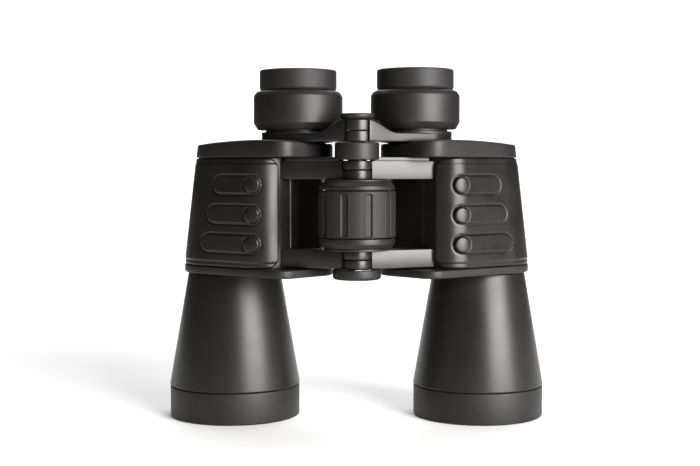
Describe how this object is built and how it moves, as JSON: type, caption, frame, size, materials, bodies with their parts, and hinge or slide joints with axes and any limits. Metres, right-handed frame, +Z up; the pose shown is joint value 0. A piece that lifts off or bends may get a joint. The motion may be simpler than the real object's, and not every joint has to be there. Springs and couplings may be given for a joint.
{
  "type": "binoculars",
  "caption": "Porro prism binoculars with wide tapered objective barrels, armoured prism housings, central hinge, ribbed focus knob and rubber eyecups",
  "frame": {"origin": "on the floor under the middle of the object's box, which stands on its two objective rims", "axes": "+Z up, from the objective rims to the eyecups; +X across the two barrels; -Y is the side with the focus knob and the hinge, which is the top when the binoculars are in use"},
  "size_m": [0.1796, 0.091, 0.164],
  "materials": {
    "body_paint": "satin black paint",
    "rim_paint": "rough matte black paint",
    "cast_paint": "satin black paint on cast aluminium",
    "cover_paint": "matte black",
    "armour_rubber": "smooth semi-gloss black",
    "soft_rubber": "matte black",
    "black_plastic": "satin black",
    "steel": "satin",
    "brass": "satin",
    "anodised": "black anodised",
    "optical_glass": "coated optical glass"
  },
  "bodies": {
    "hinge": {"hinge_axle": "steel", "hinge_collar": "cover_paint", "hinge_nut": "steel", "lower_knob_washer": "brass", "upper_knob_washer": "brass"},
    "left_half": {"left_front_rim": "rim_paint", "left_barrel": "body_paint", "left_objective_cell": "anodised", "left_objective_lens": "optical_glass", "left_retaining_ring": "anodised", "left_base_plate": "cover_paint", "left_prism_housing": "cast_paint", "left_armour_pad": "armour_rubber", "left_upper_prism": "optical_glass", "left_lower_prism": "optical_glass", "left_prism_shelf": "anodised", "left_top_plate": "cover_paint", "left_guide_sleeve": "brass"},
    "right_half": {"right_front_rim": "rim_paint", "right_barrel": "body_paint", "right_objective_cell": "anodised", "right_objective_lens": "optical_glass", "right_retaining_ring": "anodised", "right_base_plate": "cover_paint", "right_prism_housing": "cast_paint", "right_armour_pad": "armour_rubber", "right_upper_prism": "optical_glass", "right_lower_prism": "optical_glass", "right_prism_shelf": "anodised", "right_top_plate": "cover_paint", "right_guide_sleeve": "brass"},
    "knob": {"focus_knob": "black_plastic", "knob_grip": "soft_rubber"},
    "focus_carriage": {"focus_spindle": "brass", "bridge_cap": "cover_paint"},
    "left_bridge": {"left_bridge_arm": "cast_paint", "left_eyepiece_tube": "black_plastic"},
    "left_cell": {"left_lens_cell": "black_plastic", "left_field_lens": "optical_glass", "left_eye_lens": "optical_glass"},
    "left_dioptre": {"left_dioptre_ring": "black_plastic", "left_eyecup": "soft_rubber"},
    "right_bridge": {"right_bridge_arm": "cast_paint", "right_eyepiece_tube": "black_plastic", "right_eyepiece_ring": "black_plastic", "right_lens_cell": "black_plastic", "right_field_lens": "optical_glass", "right_eye_lens": "optical_glass", "right_eyecup": "soft_rubber"},
    "cap": {"tripod_cap": "cover_paint"}
  },
  "joints": [
    {"name": "left_fold", "type": "hinge", "parent": "hinge", "child": "left_half", "pos_m": [0, -0.02815, 0], "axis": [0, 0, 1], "range_deg": [0, 28]},
    {"name": "right_fold", "type": "hinge", "parent": "hinge", "child": "right_half", "pos_m": [0, -0.02815, 0], "axis": [0, 0, 1], "range_deg": [-28, 0]},
    {"name": "focus_turn", "type": "hinge", "parent": "hinge", "child": "knob", "pos_m": [0, -0.02815, 0], "axis": [0, 0, 1], "range_deg": [0, 240]},
    {"name": "focus_travel", "type": "slide", "parent": "hinge", "child": "focus_carriage", "axis": [0, 0, 1], "range_m": [0, 0.008]},
    {"name": "left_bridge_fold", "type": "hinge", "parent": "focus_carriage", "child": "left_bridge", "pos_m": [0, -0.02815, 0], "axis": [0, 0, 1], "range_deg": [0, 28]},
    {"name": "right_bridge_fold", "type": "hinge", "parent": "focus_carriage", "child": "right_bridge", "pos_m": [0, -0.02815, 0], "axis": [0, 0, 1], "range_deg": [-28, 0]},
    {"name": "dioptre_travel", "type": "slide", "parent": "left_bridge", "child": "left_cell", "axis": [0, 0, 1], "range_m": [-0.00081, 0.00161]},
    {"name": "dioptre_turn", "type": "hinge", "parent": "left_cell", "child": "left_dioptre", "pos_m": [-0.0271, -0.00375, 0], "axis": [0, 0, 1], "range_deg": [-40, 80]},
    {"name": "cap_release", "type": "slide", "parent": "hinge", "child": "cap", "axis": [0, 0, -1], "range_m": [0, 0.013]}
  ],
  "couplings": [
    {"joint": "right_fold", "follows": "left_fold", "ratio": -1},
    {"joint": "left_bridge_fold", "follows": "left_fold", "ratio": 1},
    {"joint": "right_bridge_fold", "follows": "left_fold", "ratio": -1},
    {"joint": "focus_turn", "follows": "focus_travel", "rad_per_m": 523.55},
    {"joint": "dioptre_travel", "follows": "dioptre_turn", "m_per_rad": 0.0011459}
  ]
}
